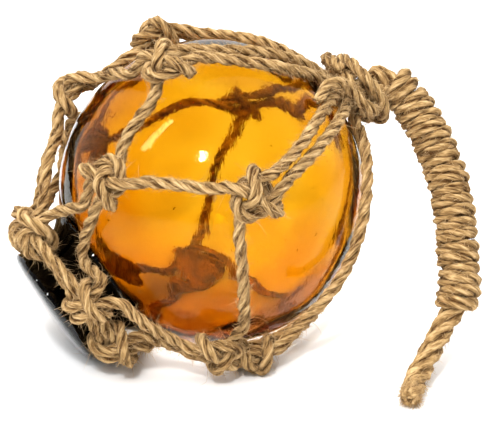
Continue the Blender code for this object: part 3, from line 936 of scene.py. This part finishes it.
def addFuzz(name, strands, seed, perMetre=None, longPerMetre=None, reach=1.0):
    rng = np.random.default_rng(seed)
    roots, outs, aheads, lengths = [], [], [], []
    for centres, outward, radii in strands:
        ahead = unit(np.gradient(centres, axis=0))
        length = np.sum(np.linalg.norm(np.diff(centres, axis=0), axis=1))
        shorts = int(length * (perMetre or fuzz["perMetre"]) / len(strands))
        longs = int(length * (longPerMetre or fuzz["longPerMetre"]) / len(strands))
        pick = rng.integers(2, len(centres) - 2, shorts + longs)
        lean = rng.uniform(-fuzz["lean"], fuzz["lean"], shorts + longs)
        e2 = np.cross(ahead[pick], outward[pick])
        out = unit(outward[pick] * np.cos(lean)[:, None] + e2 * np.sin(lean)[:, None])
        roots.append(centres[pick] + out * (radii[pick] * fuzz["rooted"])[:, None])
        outs.append(out)
        forward = np.where(rng.random(shorts + longs) < fuzz["forward"], 1.0, -1.0)
        aheads.append(ahead[pick] * forward[:, None])
        shape, scale, least = fuzz["long"]
        size = np.concatenate([
            rng.uniform(*fuzz["short"], shorts), rng.gamma(shape, scale, longs) + least,
        ])
        lengths.append(np.minimum(size, fuzz["longest"]) * reach)
    root, out, ahead = np.vstack(roots), np.vstack(outs), np.vstack(aheads)
    length = np.concatenate(lengths)
    count = len(root)
    rise = rng.uniform(*fuzz["rise"], count)
    sway = unit(rng.normal(size=(count, 3)))
    heading = unit(ahead + out * rise[:, None] + fuzz["stray"] * sway)
    bend = fuzz["bend"]
    bendTo = unit(bend[0] * sway + bend[1] * out + bend[2] * ahead)
    curl = rng.uniform(*fuzz["curl"], count)
    segments = fuzz["segments"]
    spine = [root]
    for _ in range(segments):
        spine.append(spine[-1] + heading * (length / segments)[:, None])
        heading = unit(heading + bendTo * (curl / segments)[:, None])
    spine = np.stack(spine, axis=1)
    standing = toWorld(spine.reshape(-1, 3))
    standing[:, 2] = np.maximum(standing[:, 2], fuzz["onGround"])
    spine = toNet(standing).reshape(spine.shape)
    tangent = unit(np.gradient(spine, axis=1))
    e1 = unit(np.cross(tangent, sway[:, None, :] + 0.01))
    e2 = np.cross(tangent, e1)
    shares = np.linspace(1.0, fuzz["tip"], segments + 1)
    width = fuzz["thick"] * rng.uniform(*fuzz["width"], count)[:, None] * shares[None, :]
    rings = []
    for corner in range(3):
        angle = corner * 2 * math.pi / 3
        rings.append(spine + width[:, :, None] * (math.cos(angle) * e1 + math.sin(angle) * e2))
    places = np.stack(rings, axis=2)  # hair, step, corner
    h = np.arange(count)[:, None, None]
    s = np.arange(segments)[None, :, None]
    c = np.arange(3)[None, None, :]

    def at(step, corner):
        return (h * (segments + 1) + step) * 3 + corner

    following = (c + 1) % 3
    quads = np.stack([at(s, c), at(s, following), at(s + 1, following), at(s + 1, c)], axis=-1)
    piece = quadMesh(name, places.reshape(-1, 3), quads.reshape(-1, 4), juteFuzz)
    return piece


def seat(piece):
    # from the net's own axes to the float's, pressed flat where it meets the table
    mesh = piece.data
    mesh.transform(placement)
    places = np.empty(3 * len(mesh.vertices), np.float32)
    mesh.vertices.foreach_get("co", places)
    places[2::3] = np.maximum(places[2::3], 0)
    mesh.vertices.foreach_set("co", places)
    mesh.update()
    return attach(piece, "root")


def lineOf(route, closed):
    return [evenly(roundCurve(route, closed), closed, net["step"]), closed]


lines = {
    "netZigzag": lineOf(zigzagRoute(), True),
    "netButtonRope": lineOf(buttonRopeRoute(), True),
    "netRing": lineOf(ringRoute(), True),
    "netGather": lineOf(gatherRoute(), False),
    "netArch": lineOf(net["arch"], False),
}
for knotName in net["upper"]:
    lines["netLoop" + knotName[0].upper() + knotName[1:]] = lineOf(loopRoute(knotName), False)
settled = settle(lines)
print("ropes settled:", {name: len(line) for name, line in settled.items()})

for index, (name, line) in enumerate(settled.items()):
    piece, strands = laidRope(name, line, lines[name][1], rope, 100 + 7 * index)
    seat(piece)
    if name == "netZigzag":  # one piece stands for the whole net
        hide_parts("rope_net")
    seat(addFuzz(name + "Fuzz", strands, 300 + index))
print("net laid")


# the tail rope and the rope wound round it
handle = {
    "tail": 0.0074,
    "outer": 0.0143,
    "pitch": 0.0039,
    "start": 0.0050,
    "end": 0.0915,
    "tailStep": 0.0012,
    "tailLay": 4.3,
    "tailStrands": 4,
    "tailSides": 16,
    "woundRope": 0.0043,
    "woundLay": 4.4,
    # middle of the tail rope, in ball radii from the middle of the ball
    "route": (
        (1.188, 0.388, 0.602), (1.326, 0.300, 0.475), (1.445, 0.160, 0.290),
        (1.535, -0.010, 0.080), (1.576, -0.185, -0.135), (1.588, -0.335, -0.350),
        (1.582, -0.480, -0.555), (1.487, -0.580, -0.697), (1.387, -0.745, -0.808),
        (1.282, -0.960, -0.895), (1.215, -1.205, -0.918),
    ),
}

# the winding: stops for each turn, its slack first turn and its looser last ones
winding = {
    "stops": 44,
    "middleStep": 0.0004,
    "slack": 0.0034,  # how far the first turn stands off
    "slackSide": (-0.45, 0.0, 0.9),
    "slackTurns": 1.3,
    "lastTurns": 1.6,
    "slip": ((0.07, 0.43, 0.0), (0.05, 1.13, 1.0)),
    "lastSlip": (0.30, 0.6),
    "swell": ((0.03, 0.31), (0.02, 0.77)),
    "lastSwell": 0.05,
}


def tailRoute():
    start = net["gatherOffset"] + net["gatherLength"] / 2 + net["gap"]
    route = [toWorld((0, 0, start)), toWorld((0, 0, start + 0.3 * handle["tail"]))]
    for x, y, z in handle["route"]:
        height = max(middleHeight + z * ball["radius"], handle["tail"] / 2)
        route.append(np.array((x * ball["radius"], y * ball["radius"], height)))
    return np.vstack([route[:1], roundCurve(route[1:], False)])


def addTail():
    line = evenly(tailRoute(), False, handle["tailStep"])
    piece, strands = laidRope(
        "tailRope", toNet(line), False, handle["tail"], 500,
        lay=handle["tailLay"], sides=handle["tailSides"], strands=handle["tailStrands"],
    )
    seat(piece)
    return piece, strands, line


def addWhipping(line):
    # rope wound round the tail from the gather down
    thick, pitch, whole = handle["woundRope"], handle["pitch"], 2 * math.pi
    radius = handle["outer"] / 2 - thick / 2
    dense = evenly(line, False, winding["middleStep"])
    _, side, other, _ = framesAlong(dense, False)
    runs = np.concatenate([[0], np.cumsum(np.linalg.norm(np.diff(dense, axis=0), axis=1))])
    length = handle["end"] - handle["start"]
    turns = length / pitch
    count = int(turns * winding["stops"])
    slackSide = unit(np.array(winding["slackSide"]))

    def atRun(values, run):
        return np.array([np.interp(run, runs, values[:, k]) for k in range(3)])

    route = []
    for step in range(count + 1):
        share = step / count
        turn = whole * turns * share
        first = max(0.0, 1 - turn / (winding["slackTurns"] * whole))
        last = max(0.0, 1 - (turns * whole - turn) / (winding["lastTurns"] * whole))
        slip = sum(size * math.sin(turn * rate + late) for size, rate, late in winding["slip"])
        slip += winding["lastSlip"][0] * last * math.sin(turn + winding["lastSlip"][1])
        run = handle["start"] + 0.5 * thick + share * (length - thick) + slip * pitch
        out = atRun(side, run) * math.cos(turn) + atRun(other, run) * math.sin(turn)
        swell = sum(size * math.sin(turn * rate) for size, rate in winding["swell"])
        away = radius * (1 + swell + winding["lastSwell"] * last)
        away += winding["slack"] * first ** 0.5 * max(0.0, float(out @ slackSide)) ** 2
        route.append(atRun(dense, run) + away * out)
    wound = evenly(np.array(route), False, net["step"])
    piece, strands = laidRope(
        "handleWhipping", toNet(wound), False, thick, 600, lay=handle["woundLay"],
    )
    seat(piece)
    return piece, strands


tail, tailStrands, tailLine = addTail()
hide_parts("tail_rope")
whipping, whipStrands = addWhipping(tailLine)
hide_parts("handle_whipping")
seat(addFuzz("tailFuzz", tailStrands, 701))
cutEnd = [[values[-7:] for values in strand] for strand in tailStrands]
seat(addFuzz("tailEndFuzz", cutEnd, 703, perMetre=52000, longPerMetre=15000, reach=0.8))
seat(addFuzz("whippingFuzz", whipStrands, 702))


# seeds: small bubbles of air in the wall
seeds = {
    "count": 90,
    "size": (0.00009, 0.00028),
    "stretch": (1.2, 3.0),
    "depth": 0.0009,
    "rings": 6,
    "around": 8,
    "pole": 0.15,
}


def rippled(directions, pitch, seed):
    rng = np.random.default_rng(seed)
    total = np.zeros(len(directions))
    for _ in range(14):
        axis = unit(rng.normal(size=3))
        count = rng.uniform(0.6, 1.6) / pitch
        total += np.sin(
            directions @ axis * count * ball["radius"] * wholeTurn + rng.uniform(0, wholeTurn)
        )
    return total / 5


def gridQuads(rows, around):
    # quads between rows of points, each row a closed ring
    i = np.arange(rows - 1)[:, None]
    j = np.arange(around)[None, :]
    after = (j + 1) % around
    return np.stack([
        i * around + j, (i + 1) * around + j, (i + 1) * around + after, i * around + after,
    ], axis=-1).reshape(-1, 4)


def seedSkins():
    rng = np.random.default_rng(17)
    around, rings, pole = seeds["around"], seeds["rings"], seeds["pole"]
    t = np.linspace(pole, math.pi - pole, rings)[:, None]
    p = np.linspace(0, 2 * math.pi, around, endpoint=False)[None, :]
    up = np.cos(t) * np.ones((1, around))
    skins = []
    for _ in range(seeds["count"]):
        out = unit(rng.normal(size=3))
        size = rng.uniform(*seeds["size"])
        lengthways = unit(np.cross(out, rng.normal(size=3)))
        wide = np.cross(out, lengthways)
        stretch = rng.uniform(*seeds["stretch"])
        blob = (
            out * (up * size)[..., None]
            + lengthways * (np.sin(t) * np.cos(p) * size * stretch)[..., None]
            + wide * (np.sin(t) * np.sin(p) * size)[..., None]
        )
        skins.append(blob.reshape(-1, 3) + out * (ball["radius"] - seeds["depth"]))
    return skins


def addBall():
    # an outer and an inner skin, with the seeds between them
    around, rings = ball["around"], ball["rings"]
    theta = np.linspace(ball["pole"], math.pi - ball["pole"], rings + 1)[:, None]
    phi = np.linspace(0, 2 * math.pi, around, endpoint=False)[None, :]
    directions = np.stack([
        np.sin(theta) * np.cos(phi), np.sin(theta) * np.sin(phi),
        np.cos(theta) * np.ones((1, around)),
    ], axis=-1).reshape(-1, 3)
    waves = ball["outerRipple"] * (rippled(directions, ball["outerPitch"], 3) - 1)
    outer = directions * (ball["radius"] - ball["inset"] + waves)[:, None]
    # the outer skin rests on its flat spot
    world = toWorld(outer)
    world[:, 2] = np.maximum(world[:, 2], ball["lift"])
    outer = toNet(world)
    thin = unit(np.array(ball["thinSide"])) @ turn3
    wall = ball["wall"] * (1 - ball["thinning"] * (directions @ thin))
    waves = ball["innerRipple"] * rippled(directions, ball["innerPitch"], 5)
    inner = directions * (ball["radius"] - wall + waves)[:, None]
    skin = gridQuads(rings + 1, around)
    blobs = seedSkins()
    places = [outer, inner, *blobs]
    # the skins of the hollow and of the seeds face the air inside them
    bubble = np.roll(gridQuads(seeds["rings"], seeds["around"])[:, ::-1], 1, axis=1)
    quads = [skin, skin[:, ::-1]] + [bubble] * len(blobs)
    starts = np.cumsum([0] + [len(part) for part in places])
    quads = [part + start for part, start in zip(quads, starts)]
    return quadMesh("glassBall", np.vstack(places), np.vstack(quads), amberGlass)


glassBall = seat(addBall())
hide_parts("glass_ball")
glassBall.visible_shadow = False  # light comes through to the table under it
print("glass blown")


button = {
    "foot": 0.04359,
    "base": 0.0245,
    "gap": 0.0002,  # between its underside and the ball
    "underSteps": 12,
    "around": 96,
    "middle": 0.00002,  # radius of the small open ring left at both middles
    # radius and height over the foot, from the base's edge over the rim to the face
    "profile": (
        (0.0245, 0.0012), (0.0240, 0.0020), (0.0222, 0.0032), (0.0203, 0.0050),
        (0.0190, 0.0072), (0.0181, 0.0100), (0.0178, 0.0130), (0.0180, 0.0155),
        (0.0188, 0.0174), (0.0198, 0.0186), (0.0202, 0.0194), (0.0201, 0.0201),
        (0.0194, 0.0208), (0.0170, 0.0216), (0.0130, 0.0222), (0.0080, 0.0226),
        (0.0040, 0.02275), (0.0, 0.0228),
    ),
    # size, waves round it and start of its two wobbles
    "wobble": ((0.006, 2, 0.5), (0.004, 5, 0.0)),
}


def addButton():
    under = ball["radius"] + button["gap"]
    line = []
    for step in range(button["underSteps"] + 1):
        radius = button["base"] * step / button["underSteps"]
        line.append((radius, math.sqrt(under ** 2 - radius ** 2)))
    line += [(radius, button["foot"] + height) for radius, height in button["profile"]]
    line = np.array(line)
    line[0, 0] = line[-1, 0] = button["middle"]
    around = button["around"]
    phi = np.linspace(0, 2 * math.pi, around, endpoint=False)
    wobble = 1 + sum(size * np.sin(waves * phi + start) for size, waves, start in button["wobble"])
    radius, height = line[:, :1], line[:, 1:]
    places = np.stack([
        radius * np.cos(phi) * wobble, radius * np.sin(phi) * wobble, -height * np.ones(around),
    ], axis=-1).reshape(-1, 3)
    quads = np.roll(gridQuads(len(line), around), -1, axis=1)
    return quadMesh("sealButton", places, quads, bottleGlass)


sealButton = seat(addButton())
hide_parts("seal_button")
print("button pressed on")


# table top and studio light
studio = {
    "floor": (0.93, 0.93, 0.93, 1),
    "floorSide": 8,
    "roughness": 0.7,
    "skyBehind": 1.0,
    "skyBefore": 0.16,
    "skyFrom": -0.15,
    "skyTo": 0.45,
    "lookAt": (0, 0, 0.05),
    "lamps": (
        # name, from, sides, watts, seen in the glass
        ("softbox", (0.12, 0.05, 1.45), (1.8, 1.8), 25.0, False),
        ("front fill", (-0.2, -1.3, 0.9), (1.0, 1.0), 9.0, False),
        ("key", (-0.115, -0.68, 0.78), (0.08, 0.11), 5.0, True),
        ("left window", (-1.00, -0.40, 1.35), (0.13, 0.75), 6.0, True),
    ),
}


def addFloor():
    bpy.ops.mesh.primitive_plane_add(size=studio["floorSide"], location=(0, 0, 0))
    floor = bpy.context.object
    floor.name = "tableTop"
    material = bpy.data.materials.new("white table")
    setAll(shaderOf(material), {"Base Color": studio["floor"], "Roughness": studio["roughness"]})
    floor.data.materials.append(material)


def addLamps():
    for name, place, sides, watts, seen in studio["lamps"]:
        data = bpy.data.lights.new(name, "AREA")
        data.shape = "RECTANGLE"
        data.size, data.size_y = sides
        data.energy = watts
        lamp = bpy.data.objects.new(name, data)
        lamp.location = place
        ahead = Vector(studio["lookAt"]) - Vector(place)
        lamp.rotation_euler = ahead.to_track_quat("-Z", "Y").to_euler()
        lamp.visible_glossy = seen
        lamp.visible_transmission = seen
        bpy.context.scene.collection.objects.link(lamp)


def addSky():
    # pale behind the float and dark on the near side, so that the glass stays deep in colour
    world = bpy.data.worlds.new("studio")
    world.use_nodes = True
    tree = world.node_tree
    place = node(tree, "ShaderNodeTexCoord")
    split = node(tree, "ShaderNodeSeparateXYZ")
    level = node(tree, "ShaderNodeMapRange")
    setAll(level, {
        "From Min": studio["skyFrom"], "From Max": studio["skyTo"],
        "To Min": studio["skyBefore"], "To Max": studio["skyBehind"],
    })
    tree.links.new(place.outputs["Generated"], split.inputs["Vector"])
    tree.links.new(split.outputs["Y"], level.inputs["Value"])
    tree.links.new(level.outputs["Result"], tree.nodes["Background"].inputs["Strength"])
    tree.nodes["Background"].inputs["Color"].default_value = (1, 1, 1, 1)
    bpy.context.scene.world = world


addFloor()
addLamps()
addSky()
bpy.context.scene.view_settings.view_transform = "Standard"
bpy.context.scene.view_settings.look = "Medium High Contrast"
allMeshes = [thing.data for thing in bpy.data.objects if thing.type == "MESH"]
print("studio lit,", sum(len(mesh.polygons) for mesh in allMeshes), "faces")
